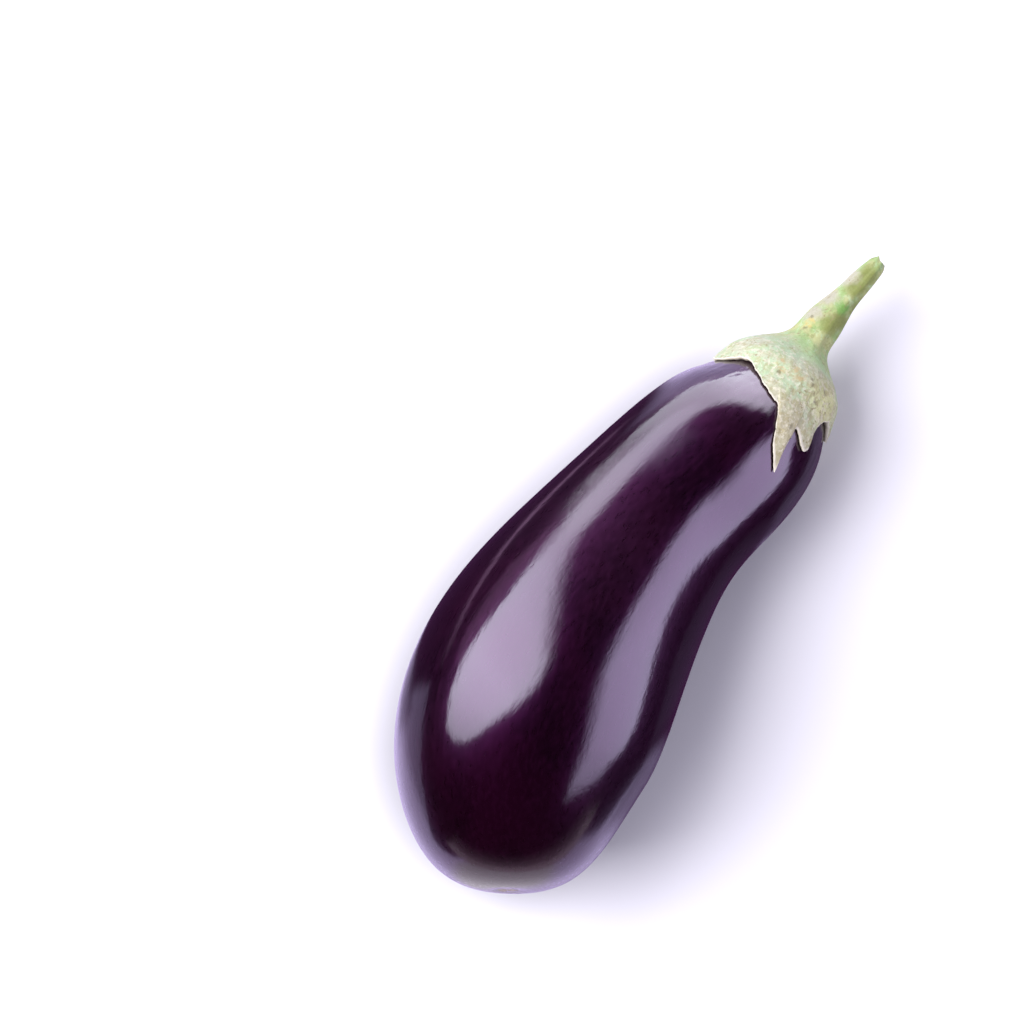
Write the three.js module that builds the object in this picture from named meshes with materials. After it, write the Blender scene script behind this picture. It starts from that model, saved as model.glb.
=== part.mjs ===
// An eggplant lying on its side, in millimetres, +Z up.
// The blossom end points to -Y and the stem to +Y. The fruit bends sideways, with its hollow side
// to +X, and rests on a flat spot under its belly and a smaller one under its neck.
//
// Everything is laid out round one curved axis. A place on it is a station, in millimetres from the
// blossom end. A place round it is an angle in degrees: 0 is up, 90 is towards +X.
import * as THREE from 'three';

// ---- Driving dimensions ----

// Control points [x, y, z] of the axis, one at each AXIS_STEP of station.
const AXIS_STEP = 33.2;
const AXIS = [
  [21.5, -112.7, 49.2],
  [3.0, -79.5, 44.4],
  [-2.3, -46.3, 39.2],
  [-1.6, -13.1, 34.1],
  [2.4, 20.1, 30.0],
  [14.5, 53.3, 27.3],
  [13.7, 86.5, 26.5],
  [21.5, 119.7, 31.0],
];

// Control points [station, radius] of the fruit's half outline, from pole to pole.
const FRUIT_OUTLINE = [
  [-2.2, 0],
  [0, 19.2],
  [14, 32.2],
  [38, 41.6],
  [66, 41.6],
  [96, 35.9],
  [124, 30.1],
  [148, 30.0],
  [164, 27.5],
  [175, 21.4],
  [184, 16.2],
  [191, 10.0],
  [194, 5.0],
  [194, 0],
];

// Control points [station, radius] of the calyx's shoulder and the stem.
const STEM_OUTLINE = [
  [164, 26.6],
  [175, 21.3],
  [183, 21.1],
  [190, 15.5],
  [197, 5.9],
  [205, 7.2],
  [214.5, 4.2],
  [224.5, 3.9],
  [231.8, 2.8],
];

// The calyx's edge, lobe by lobe, as points [angle, station]. A lobe starts in the notch that it
// shares with the lobe before it, and its lowest station is its tip.
const LOBES = [
  [[-112, 178], [-101, 177], [-90, 175.9], [-79, 174.9], [-68, 173.9], [-59, 174.2], [-50, 176.2],
    [-42, 177.7]],
  [[-34, 178], [-30, 177.6], [-26, 176.9], [-21, 175.7], [-16, 174.5], [-11.5, 173.3], [-7.5, 172.3],
    [-3.5, 171.4], [1, 170.7], [5.5, 170.1], [9.5, 169.4], [12.5, 167.3], [15, 165.1], [17.7, 162.8],
    [20.8, 160.3], [25, 158], [30.2, 155.7], [35.8, 153.6], [33.8, 155.8], [32, 158.4],
    [30.6, 161.2], [29.8, 164.6]],
  [[29.8, 167.6], [33.6, 166.9], [38.4, 165.6], [44.6, 164.8], [47.8, 166.2], [47.3, 168.2],
    [47.6, 170.6], [49.6, 173], [53.4, 175], [58.8, 176.9]],
  [[65, 178], [70, 177.6], [75, 176.7], [80, 175.2], [85, 174], [89.5, 175], [93.5, 176.6],
    [97.5, 177.9]],
  [[101, 178.4], [106, 176], [111, 171.5], [117, 166.5], [125, 162.2], [129, 167], [134, 172.5],
    [140, 176.4]],
  [[147, 178.6], [153, 176.6], [159, 173.6], [165, 170.6], [172, 168.2], [177, 171],
    [182, 174], [187, 177]],
  [[194, 178.7], [200, 176], [206, 171], [212, 165.6], [219, 160.8], [224, 165.6],
    [230, 171.4], [238, 176]],
];

const REST_HEIGHT = 0; // the surface that the fruit lies on
const SCAR_DEPTH = 0.9; // blossom scar: a shallow dimple at the blossom end
const SCAR_RADIUS = 4.5;
const SKIN_GAP = 0.35; // between the skin and the calyx
const LOBE_THICKNESS = 0.8; // at the lobes' edges
const SHOULDER_BLEND = 1.2; // softens the line where the lobes leave the shoulder
const LOBE_ROOT = 186; // station where the lobes begin
const LEAN_POWER = 1.6; // how late on its way down a leaning lobe turns aside
const RIB_COUNT = 7; // low ribs that run from the lobes into the stem
const RIB_HEIGHT = 0.35;
const RIB_ANGLE = 22; // angle of the first rib
const RIB_START = 174; // station where the ribs begin to rise
const CUT_STATION = 231.8; // the stem's cut end
const CUT_RIM_SHARE = 0.8; // the cut's rounded rim, as a share of the stem's radius
const CUT_HOLLOW = 0.6; // how far the pith has shrunk below the cut's rim

const FRUIT_SIDES = 56;
const FRUIT_RINGS = 44;
const LOBE_ROWS = 8; // from the root to the edge
const DOME_ROWS = 4; // inside the calyx, from the lobes' roots to the top of the fruit
const STEM_STATIONS = [189, 192, 195, 198, 201.5, 206, 211, 217, 223, 228, 231.2];

const DEGREE = Math.PI / 180;

// ---- Curves ----

// Adds a point at each end, so that a curve starts and ends at its end control points.
function withOpenEnds(points) {
  const beyond = (end, next) => end.map((value, k) => 2 * value - next[k]);
  return [beyond(points[0], points[1]), ...points, beyond(points.at(-1), points.at(-2))];
}

// Adds a point at each end, so that an outline meets the axis squarely at its poles.
function withPoles(points) {
  const mirrored = ([station, radius]) => [station, -radius];
  return [mirrored(points[1]), ...points, mirrored(points.at(-2))];
}

// A point of a uniform cubic B-spline, with t = 0 at control point 1 and t = 1 at control point 2.
function spline(points, t) {
  const piece = Math.min(Math.max(Math.floor(t), 0), points.length - 4);
  const u = t - piece;
  const weights = [
    (1 - u) ** 3,
    3 * u ** 3 - 6 * u ** 2 + 4,
    1 + 3 * u + 3 * u ** 2 - 3 * u ** 3,
    u ** 3,
  ];
  return points[0].map((_, k) => weights.reduce(
    (sum, weight, j) => sum + weight * points[piece + j][k] / 6,
    0,
  ));
}

const AXIS_CURVE = withOpenEnds(AXIS);
const FRUIT_CURVE = withPoles(FRUIT_OUTLINE);
const STEM_CURVE = withOpenEnds(STEM_OUTLINE);
const FRUIT_END = FRUIT_OUTLINE.length - 1;
const STEM_END = STEM_OUTLINE.length - 1;
const CURVE_STEP = 0.01; // a small step of t, to find a direction

// The point at a station, radius and angle. Nothing reaches below the surface that carries it.
function place(station, radius, angle) {
  const t = station / AXIS_STEP;
  const centre = new THREE.Vector3(...spline(AXIS_CURVE, t));
  const forward = new THREE.Vector3(...spline(AXIS_CURVE, t + CURVE_STEP)).sub(centre).normalize();
  const side = new THREE.Vector3().crossVectors(forward, new THREE.Vector3(0, 0, 1)).normalize();
  const up = new THREE.Vector3().crossVectors(side, forward);
  const point = centre
    .addScaledVector(side, radius * Math.sin(angle * DEGREE))
    .addScaledVector(up, radius * Math.cos(angle * DEGREE));
  point.z = Math.max(point.z, REST_HEIGHT);
  return point;
}

// A point [station, radius] of the fruit's outline, lifted off the skin.
function fruitOutline(t, lift) {
  const [station, radius] = spline(FRUIT_CURVE, t);
  const [nextStation, nextRadius] = spline(FRUIT_CURVE, t + CURVE_STEP);
  const run = nextStation - station;
  const rise = nextRadius - radius;
  const length = Math.hypot(run, rise);
  return [station - lift * rise / length, radius + lift * run / length];
}

// Where an outline whose stations rise with t reaches a station.
function solve(outline, station, end) {
  let low = 0;
  let high = end;
  while (high - low > 1e-6) {
    const middle = (low + high) / 2;
    if (outline(middle)[0] < station) low = middle;
    else high = middle;
  }
  return high;
}

function liftedRadius(station, lift) {
  const outline = (t) => fruitOutline(t, lift);
  return outline(solve(outline, station, FRUIT_END))[1];
}

function stemRadius(station) {
  const outline = (t) => spline(STEM_CURVE, t);
  return station < STEM_OUTLINE[0][0] ? 0 : outline(solve(outline, station, STEM_END))[1];
}

// ---- Skins ----

// A closed skin from one pole through rings of points to the other pole, each ring with its points
// in the order of their angles. Stations rise from ring to ring where the skin faces off the axis.
function closedSkin(firstPole, rings, lastPole) {
  const sides = rings[0].length;
  const points = [firstPole, ...rings.flat(), lastPole];
  const last = points.length - 1;
  const index = [];
  const corner = (ring, side) => 1 + ring * sides + (side % sides);
  for (let side = 0; side < sides; side += 1) {
    index.push(0, corner(0, side + 1), corner(0, side));
    for (let ring = 0; ring < rings.length - 1; ring += 1) {
      const [a, b] = [corner(ring, side), corner(ring, side + 1)];
      const [c, d] = [corner(ring + 1, side), corner(ring + 1, side + 1)];
      index.push(a, b, c, b, d, c);
    }
    index.push(last, corner(rings.length - 1, side), corner(rings.length - 1, side + 1));
  }
  const geometry = new THREE.BufferGeometry().setFromPoints(points);
  geometry.setIndex(index);
  geometry.computeVertexNormals();
  return geometry;
}

// ---- Fruit ----

// A point of the fruit's own outline, with the blossom scar's dimple pressed into its end.
function scarredOutline(t) {
  const [station, radius] = fruitOutline(t, 0);
  const dimple = t < FRUIT_END / 2 ? SCAR_DEPTH * Math.exp(-((radius / SCAR_RADIUS) ** 2)) : 0;
  return [station + dimple, radius];
}

function fruitGeometry() {
  const rings = [];
  for (let ring = 1; ring <= FRUIT_RINGS; ring += 1) {
    const [station, radius] = scarredOutline(FRUIT_END * ring / (FRUIT_RINGS + 1));
    const angles = Array.from({ length: FRUIT_SIDES }, (_, side) => 360 * side / FRUIT_SIDES);
    rings.push(angles.map((angle) => place(station, radius, angle)));
  }
  return closedSkin(place(scarredOutline(0)[0], 0, 0), rings, place(FRUIT_OUTLINE.at(-1)[0], 0, 0));
}

// ---- Calyx and stem ----

// One column for each point of the lobes' edge. Its root is its angle where the lobes begin, and
// the roots are spread evenly over each lobe, so that a lobe leans where its edge does.
function lobeColumns() {
  return LOBES.flatMap((lobe, i) => {
    const start = lobe[0][0];
    const next = LOBES[(i + 1) % LOBES.length][0][0];
    const span = (next - start + 360) % 360;
    return lobe.map(([angle, station], k) => ({ root: start + span * k / lobe.length, angle, station }));
  });
}

// The outer radius: the lobes lie on the skin, and the shoulder rises from them to the stem.
function calyxRadius(station, angle) {
  const lobe = liftedRadius(station, SKIN_GAP + LOBE_THICKNESS);
  const shoulder = stemRadius(station);
  const rib = RIB_HEIGHT * Math.cos(RIB_COUNT * (angle - RIB_ANGLE) * DEGREE);
  const ribShare = THREE.MathUtils.smoothstep(station, RIB_START, LOBE_ROOT);
  return (lobe + shoulder + Math.hypot(lobe - shoulder, SHOULDER_BLEND)) / 2 + rib * ribShare;
}

function lobeRing(columns, share, radiusAt) {
  return columns.map((column) => {
    const station = LOBE_ROOT + (column.station - LOBE_ROOT) * share;
    const angle = column.root + (column.angle - column.root) * share ** LEAN_POWER;
    return place(station, radiusAt(station, angle), angle);
  });
}

function calyxGeometry() {
  const columns = lobeColumns();
  const roundRing = (station, radiusAt) => columns.map(
    ({ root }) => place(station, radiusAt(station, root), root),
  );
  const innerRadius = (station) => liftedRadius(station, SKIN_GAP);
  const rootPosition = solve((t) => fruitOutline(t, SKIN_GAP), LOBE_ROOT, FRUIT_END);
  const rings = [];
  for (let row = 1; row < DOME_ROWS; row += 1) {
    const t = FRUIT_END + (rootPosition - FRUIT_END) * row / DOME_ROWS;
    const [station, radius] = fruitOutline(t, SKIN_GAP);
    rings.push(roundRing(station, () => radius));
  }
  for (let row = 0; row <= LOBE_ROWS; row += 1) {
    rings.push(lobeRing(columns, row / LOBE_ROWS, innerRadius));
  }
  for (let row = LOBE_ROWS; row >= 0; row -= 1) {
    rings.push(lobeRing(columns, row / LOBE_ROWS, calyxRadius));
  }
  STEM_STATIONS.forEach((station) => rings.push(roundRing(station, calyxRadius)));
  rings.push(roundRing(CUT_STATION, () => stemRadius(CUT_STATION) * CUT_RIM_SHARE));
  const domeTop = place(fruitOutline(FRUIT_END, SKIN_GAP)[0], 0, 0);
  return closedSkin(domeTop, rings, place(CUT_STATION - CUT_HOLLOW, 0, 0));
}

// ---- The eggplant ----

const skin = new THREE.MeshStandardMaterial({ color: 0x2b0a24, roughness: 0.18, metalness: 0 });
const green = new THREE.MeshStandardMaterial({ color: 0xa9ad78, roughness: 0.8, metalness: 0 });

const fruit = new THREE.Mesh(fruitGeometry(), skin);
fruit.name = 'fruit';
const calyx = new THREE.Mesh(calyxGeometry(), green);
calyx.name = 'calyx_and_stem';

const eggplant = new THREE.Group();
eggplant.add(fruit, calyx);

export default eggplant;
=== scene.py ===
"""An eggplant lying on its side on a pale floor, in metres, +Z up.

The frame holds its plain solids. Here the fruit, and the calyx with its stem, are made again from
the same named values, as fine skins with their relief and finish. Both are laid out round one
curved axis. A place on it is a station, measured from the blossom end. A place round it is an angle
in degrees: 0 is up, 90 is towards +X.
"""
import math

import bpy
import numpy as np
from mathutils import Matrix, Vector, noise


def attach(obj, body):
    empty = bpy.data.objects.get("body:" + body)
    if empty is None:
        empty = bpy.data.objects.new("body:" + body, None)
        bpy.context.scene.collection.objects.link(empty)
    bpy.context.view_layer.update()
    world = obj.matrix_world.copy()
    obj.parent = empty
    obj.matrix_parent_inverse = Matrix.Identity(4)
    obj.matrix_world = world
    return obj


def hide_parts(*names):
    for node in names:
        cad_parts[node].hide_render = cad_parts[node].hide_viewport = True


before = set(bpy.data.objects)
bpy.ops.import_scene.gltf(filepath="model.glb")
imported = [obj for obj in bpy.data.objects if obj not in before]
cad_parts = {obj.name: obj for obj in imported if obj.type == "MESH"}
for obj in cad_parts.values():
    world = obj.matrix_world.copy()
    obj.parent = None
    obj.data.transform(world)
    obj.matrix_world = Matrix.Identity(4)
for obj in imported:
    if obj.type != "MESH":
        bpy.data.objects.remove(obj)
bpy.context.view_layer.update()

MM = 0.001

# ---- The source's own dimensions ----

AXIS_STEP = 33.2 * MM
# Control points [x, y, z] of the axis, one at each AXIS_STEP of station.
AXIS = MM * np.array([
    [21.5, -112.7, 49.2],
    [3.0, -79.5, 44.4],
    [-2.3, -46.3, 39.2],
    [-1.6, -13.1, 34.1],
    [2.4, 20.1, 30.0],
    [14.5, 53.3, 27.3],
    [13.7, 86.5, 26.5],
    [21.5, 119.7, 31.0],
])
# Control points [station, radius] of the fruit's half outline, from pole to pole.
FRUIT_OUTLINE = MM * np.array([
    [-2.2, 0],
    [0, 19.2],
    [14, 32.2],
    [38, 41.6],
    [66, 41.6],
    [96, 35.9],
    [124, 30.1],
    [148, 30.0],
    [164, 27.5],
    [175, 21.4],
    [184, 16.2],
    [191, 10.0],
    [194, 5.0],
    [194, 0],
])
# Control points [station, radius] of the calyx's shoulder and the stem.
STEM_OUTLINE = MM * np.array([
    [164, 26.6],
    [175, 21.3],
    [183, 21.1],
    [190, 15.5],
    [197, 5.9],
    [205, 7.2],
    [214.5, 4.2],
    [224.5, 3.9],
    [231.8, 2.8],
])
# The calyx's edge, lobe by lobe, as points [angle, station in millimetres]. A lobe starts in the
# notch that it shares with the lobe before it, and its lowest station is its tip.
LOBES = [
    [[-112, 178], [-101, 177], [-90, 175.9], [-79, 174.9], [-68, 173.9], [-59, 174.2],
     [-50, 176.2], [-42, 177.7]],
    [[-34, 178], [-30, 177.6], [-26, 176.9], [-21, 175.7], [-16, 174.5], [-11.5, 173.3],
     [-7.5, 172.3], [-3.5, 171.4], [1, 170.7], [5.5, 170.1], [9.5, 169.4], [12.5, 167.3],
     [15, 165.1], [17.7, 162.8], [20.8, 160.3], [25, 158], [30.2, 155.7], [35.8, 153.6],
     [33.8, 155.8], [32, 158.4], [30.6, 161.2], [29.8, 164.6]],
    [[29.8, 167.6], [33.6, 166.9], [38.4, 165.6], [44.6, 164.8], [47.8, 166.2], [47.3, 168.2],
     [47.6, 170.6], [49.6, 173], [53.4, 175], [58.8, 176.9]],
    [[65, 178], [70, 177.6], [75, 176.7], [80, 175.2], [85, 174], [89.5, 175], [93.5, 176.6],
     [97.5, 177.9]],
    [[101, 178.4], [106, 176], [111, 171.5], [117, 166.5], [125, 162.2], [129, 167], [134, 172.5],
     [140, 176.4]],
    [[147, 178.6], [153, 176.6], [159, 173.6], [165, 170.6], [172, 168.2], [177, 171],
     [182, 174], [187, 177]],
    [[194, 178.7], [200, 176], [206, 171], [212, 165.6], [219, 160.8], [224, 165.6],
     [230, 171.4], [238, 176]],
]

SCAR_DEPTH = 0.9 * MM  # blossom scar: a shallow dimple at the blossom end
SCAR_RADIUS = 4.5 * MM
SKIN_GAP = 0.35 * MM  # between the skin and the calyx
LOBE_THICKNESS = 0.8 * MM
SHOULDER_BLEND = 1.2 * MM  # softens the line where the lobes leave the shoulder
LOBE_ROOT = 186 * MM  # station where the lobes begin
LEAN_POWER = 1.6  # how late on its way down a leaning lobe turns aside
RIB_COUNT = 7  # low ribs that run from the lobes into the stem
RIB_HEIGHT = 0.35 * MM
RIB_ANGLE = 22  # angle of the first rib
RIB_START = 174 * MM  # station where the ribs begin to rise
CUT_STATION = 231.8 * MM  # the stem's cut end
CUT_HOLLOW = 0.6 * MM  # how far the pith has shrunk below the cut's rim

# ---- Relief that the plain solids leave out ----

FRUIT_SIDES = 352
FRUIT_RINGS = 264
BODY_RADII = (2 * MM, 16 * MM)  # over these radii the swells and flutes rise, away from the poles
UNEVENNESS = 0.07 * MM  # broad swells of the skin
UNEVENNESS_SIZE = 30 * MM
RIPPLE = 0.022 * MM  # small dents and ripples that break up the gloss
RIPPLE_SIZE = 7 * MM
RIPPLE_STRETCH = 1.6  # along the axis
FLUTE_COUNT = 5  # shallow flutes along the fruit, left by its seed chambers
FLUTE_HEIGHT = 0.05 * MM
FLUTE_TWIST = 1.5 / AXIS_STEP  # radians for each metre along the axis
PUCKER_HEIGHT = 0.12 * MM  # fine gathers of the skin where it goes under the calyx
PUCKER_SIZE = 2.4 * MM
PUCKER_STRETCH = 9
PUCKER_STATIONS = (146 * MM, 178 * MM)  # over these stations they rise
PUCKER_CALM = 0.7  # share of the swells and flutes that is lost where they do
CORK_RADIUS = 3.1 * MM  # the corky spot where the blossom sat
CORK_HEIGHT = 0.5 * MM
CORK_FRAY_SIZE = 2.2 * MM
CORK_FRAY = 0.3  # share of its radius by which its outline varies
CORK_EDGE = (0.75, 1.05)  # shares of its radius between which its height falls
CRUST_SIZE = 0.8 * MM  # of the lumps on that spot
CRUST_LEVEL, CRUST_SWING = 0.6, 0.4  # its usual height and those lumps, as shares of CORK_HEIGHT
SKIN_BUMP = 0.033 * MM  # of the grain that is finer than the mesh

EDGE_COLUMNS = 8  # columns of the calyx's skin for each point of LOBES
EDGE_TENSION = 0.35  # how far the edge's curve follows the points beside each point
EDGE_RADIUS = 22 * MM  # about how far the edge lies from the axis
DOME_ROWS = 4
INNER_ROWS = 22
OUTER_ROWS = 72
STEM_ROWS = 58
CUT_ROWS = 7
EDGE_RAGGEDNESS = 0.45 * MM
EDGE_RAG_SIZE = 1.9 * MM
EDGE_THINNING = 0.5  # share of its thickness that a lobe loses towards its edge
EDGE_HUG = 0.27 * MM  # how much closer to the skin an edge lies where it hasn't dried and lifted
EDGE_LIFT = 0.55 * MM  # most that a dried tip stands off the skin
EDGE_CALM = 0.5  # share of its relief that a lobe loses at its edge
# Shares of a lobe's length between which each of these grows.
THINNING_SHARES, HUG_SHARES, LIFT_SHARES, CALM_SHARES = (0.7, 1), (0.5, 0.9), (0.6, 1), (0.8, 1)
TIP_STATIONS = (154 * MM, 171 * MM)  # an edge is a dried tip at the first and none from the second
CURL_LEVEL, CURL_SWING, CURL_LEAST = 0.65, 0.6, 0.1  # usual, varying and least shares of EDGE_LIFT
CURL_SIZE = 7 * MM
STEM_STATIONS = (190 * MM, 200 * MM)  # the calyx's relief turns into the stem's between them
RIB_FADE = (194 * MM, 206 * MM)  # the ribs get lower between them
VEIN_HEIGHT = 0.12 * MM
VEIN_WIDTH = 0.12  # share of a lobe's width
WRINKLE_HEIGHT = 0.16 * MM
WRINKLE_SIZE = 1.7 * MM
LUMP_HEIGHT = 0.3 * MM
LUMP_SIZE = 6.5 * MM
STEM_RIDGE_HEIGHT = 0.13 * MM
STEM_RIDGE_SIZE = 2.6 * MM
WRINKLE_LOSS, LUMP_LOSS, RIB_LOSS = 0.5, 0.6, 0.65  # share of each that is lost on the stem
RIDGE_STRETCH = 7  # of the wrinkles and ridges, along the axis
CALYX_BUMP = 0.15 * MM  # of the fibres and pits that are finer than the mesh
DOME_GAP = 0.3 * MM  # between the fruit's end and the calyx, along the axis
SKIN_REACH = 193.2 * MM  # the calyx follows the fruit's skin as far as this station
STEM_ALONE = 192 * MM  # past this station the calyx's outside is the stem's outline alone
STUB_HEIGHT = 1.0 * MM  # a bit of bark left standing on the cut
STUB_ANGLE = -40
STUB_SPREAD = 24  # degrees from its middle to where it is much lower
STUB_LENGTH = 3 * MM  # along the stem
CUT_ROUNDING = 2.4 * MM  # the stem narrows over this length before its cut
CUT_NARROWING = 0.2
CUT_SHARES = (0.97, 0.12)  # the cut's first and last ring, as shares of its radius
CUT_BULGE = 0.35 * MM  # of the rounded rim
RIM_START = 0.6  # share of the cut's radius from which that rim runs to its edge
PITH_SHARES = (0.1, 0.6)  # shares of that radius, in from the edge, between which the pith sinks
STUB_SHARES = (0.5, 1)  # and, out from the middle, those between which the bit of bark rises
PITH_ROUGHNESS = 0.12 * MM
PITH_SIZE = 0.9 * MM

OUTSIDE_LIFT = 1.2 * MM  # about how far the calyx's outside lies off the fruit's skin
# Where the calyx and stem are marked, as [angle, station in millimetres].
# Straw patches, a real tint painted lighter: painted light on the side away from the key lamp.
STRAW_AND_PAINTED_LIGHT_PLACES = [[48, 181], [150, 180], [-140, 182]]
GREEN_PLACES = [[26, 195], [-160, 192], [110, 193]]
MOSS_PLACES = [[8, 221], [6, 226], [95, 216], [-150, 222], [24, 206], [40, 209]]
CORK_PLACES = [[-48, 206], [-55, 213], [-62, 222], [150, 210]]
YELLOW_PLACES = [[-30, 202.5], [170, 205]]
AMBER_PLACES = [[-4, 180.8], [-9, 183], [8, 183.4], [12, 181.8], [-125, 180], [140, 172]]
LEAF_PLACES = [[26, 213], [-170, 214]]
DARK_PLACES = [[-5, 179.4], [43, 183.8], [37, 178.6], [28, 182.8], [31, 180.4], [24, 184.4],
               [-40, 204.2], [-28, 200.4], [25, 167], [130, 176], [-170, 180], [-100, 183]]

# ---- The camera and the light ----

CAMERA_AZIMUTH = 31
CAMERA_ELEVATION = 81
CAMERA_LENS, CAMERA_SENSOR = 90, 36  # in millimetres
CAMERA_DISTANCE = 0.8
CAMERA_TARGET = (-0.0372, -0.0127, 0.041)

# The soft panels shape the highlights. Their corners are [across, up, softness], in shares of their
# distance from the fruit.
PANEL_DISTANCE = 0.3
PANEL_CENTRE = [0, 0, 50 * MM]  # the place that they are all at that distance from
PANEL_STEPS = 70
LEFT_PANEL = [
    [0.91, -0.1, 0.08], [0.85, 0.14, 0.08], [0.7, 0.37, 0.09], [0.53, 0.53, 0.1],
    [0.34, 0.71, 0.13], [0.1, 0.92, 0.2], [-0.14, 1.04, 0.3], [-0.5, 0.97, 0.42],
    [-0.66, 0.54, 0.4], [-0.7, 0.3, 0.36], [-0.7, 0.1, 0.28], [-0.72, -0.02, 0.2],
    [-0.9, -0.04, 0.18], [-0.9, -0.4, 0.18], [-0.72, -0.66, 0.12], [-0.5, -0.63, 0.1],
    [-0.36, -0.49, 0.07], [-0.19, -0.42, 0.05], [0.05, -0.46, 0.05], [0.31, -0.51, 0.05],
    [0.61, -0.45, 0.06], [0.83, -0.35, 0.07],
]
LOW_PANEL = [
    [0.5, -0.4, 0.1], [-0.6, -0.4, 0.1], [-0.66, -0.8, 0.15], [-0.3, -1.0, 0.2], [0.3, -0.8, 0.2],
]
RIGHT_PANEL = [
    [-1.05, 0.34, 0.26], [-0.9, 0.41, 0.2], [-0.67, 0.45, 0.27], [-0.39, 0.52, 0.33],
    [-0.12, 0.56, 0.38], [0.08, 0.51, 0.36], [0.2, 0.4, 0.22], [0.3, 0.24, 0.16], [0.42, 0.1, 0.16],
    [0.54, -0.1, 0.2], [0.5, -0.32, 0.2], [0.3, -0.44, 0.18], [0.1, -0.35, 0.1],
    [-0.02, -0.42, 0.1], [-0.16, -0.53, 0.12], [-0.29, -0.57, 0.12], [-0.43, -0.54, 0.12],
    [-0.62, -0.46, 0.12], [-0.8, -0.26, 0.12], [-0.92, 0.05, 0.18], [-1.02, 0.25, 0.24],
]
BACK_PANEL = [
    [-1.3, 0.6, 0.35], [-0.9, 0.52, 0.3], [-0.6, 0.48, 0.3], [-0.35, 0.38, 0.22],
    [-0.15, 0.3, 0.16], [0.0, 0.25, 0.14], [0.2, 0.24, 0.12], [0.34, 0.17, 0.12],
    [0.45, 0.03, 0.1], [0.46, -0.15, 0.1], [0.52, -0.33, 0.1], [0.55, -0.52, 0.08],
    [0.2, -0.6, 0.06], [-0.1, -0.68, 0.06], [-0.4, -0.68, 0.08], [-0.7, -0.5, 0.08],
    [-1.3, -0.3, 0.1],
]
FRONT_PANEL = [[-1.3, -0.4, 0.1], [1.3, -0.4, 0.1], [1.1, 0.2, 0.55], [-1.1, 0.2, 0.55]]
# Each panel's name, the azimuth and elevation of the way to it, its corners, its strengths from its
# lowest share across to its highest, and its colour.
PANELS = [
    ("left_panel", -82.4, 40.7, LEFT_PANEL,
     (0.39, 0.42, 0.76, 0.87, 0.9, 0.98, 0.89, 0.69, 0.53), (8.1, 8.45, 9.8)),
    ("low_panel", -82.4, 40.7, LOW_PANEL, (0.8, 0.8), (0.8, 0.45, 0.8)),
    ("right_panel", 60.6, 23.6, RIGHT_PANEL, (0.42, 0.8, 0.98, 0.7), (4.3, 4.1, 5.7)),
    ("back_panel", -32, 17.6, BACK_PANEL, (0.5, 0.8, 1.1, 0.72, 0.5), (6.8, 7.2, 7.9)),
    ("front_panel", 148, 4, FRONT_PANEL, (1.0, 1.0), (0.75, 0.6, 0.72)),
]

FLOOR_RADIUS = 0.5
FLOOR_SIDES = 96
FLOOR_COLOUR = (0.86, 0.84, 0.93)
FLOOR_COLOUR_IN_GLOSS = (0.74, 0.63, 0.98)
# The floor that the fruit's gloss shows is dark where the photograph's two other fruits lie, with
# painted shade where their shadows and the fruit's own fall. These are its dark parts: how much
# each is dimmed, and its corners [x, y, softness] in millimetres.
FLOOR_SHADES = [
    [0.985, [[-49, -58, 10], [-58, -71, 11], [-72, -80, 12], [-93, -99, 14], [-129, -104, 18],
             [-252, -124, 22], [-600, -160, 25], [-600, 600, 30], [-300, 300, 50], [-110, 120, 45],
             [-50, 86, 24], [-22, 66, 12], [5, 50, 10], [10, 0, 10], [0, -40, 10]]],
    [0.93, [[34, -52, 10], [55, -50, 12], [78, -48, 14], [98, -48, 14], [106, -60, 14],
            [118, -80, 18], [150, -104, 28], [360, -165, 45], [600, -185, 45], [600, 600, 40],
            [150, 600, 40], [95, 110, 20], [94, 48, 14], [86, 38, 12], [57, 34, 10], [26, 22, 8]]],
    [0.9, [[108, -40, 12], [125, -58, 16], [150, -75, 20], [250, -110, 40], [600, -150, 40],
           [600, 600, 40], [125, 600, 40], [125, 20, 12], [108, 0, 12]]],
    [0.8, [[30, 24, 8], [150, 20, 10], [200, 60, 20], [200, 160, 30], [60, 160, 20], [30, 100, 8]]],
    [0.58, [[20, -40, 20], [30, -90, 20], [120, -90, 20], [120, -20, 20], [40, -20, 20]]],
    [0.6, [[-45, -60, 10], [-58, -112, 20], [-100, -126, 25], [-150, -118, 25], [-110, -85, 15],
           [-60, -60, 10]]],
    [0.5, [[-60, -60, 30], [-90, -200, 60], [-60, -320, 80], [-600, -600, 80], [-600, -60, 80]]],
    [1.0, [[-285, -80, 20], [-280, -225, 30], [-190, -265, 40], [-60, -206, 30], [-10, -290, 45],
           [0, -600, 30], [-600, -600, 30], [-600, -80, 30]]],
]
FLOOR_SHADE_COLOUR = (0.05, 0.006, 0.05)
FLOOR_SHADE_STEPS = 200
FLOOR_SHADE_HEIGHT = 0.4 * MM  # of the sheet above the floor
# Painted contact shade in the gloss, darker right beside the fruit.
GLOSS_CONTACT_DIMMING = 0.35  # how much darker that floor gets right beside the fruit
GLOSS_CONTACT_REACH = 28 * MM
# A paler part of the same floor, in the gloss of the blossom end.
FLOOR_GLOW = [[10, -125, 15], [60, -124, 20], [140, -150, 40], [420, -260, 60], [420, -480, 60],
              [0, -480, 60], [-30, -260, 40], [-4, -150, 20]]
FLOOR_GLOW_SHARE = 0.8
FLOOR_GLOW_COLOUR = (1.05, 1.0, 1.04)
FLOOR_GLOW_HEIGHT = 0.6 * MM
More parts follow.
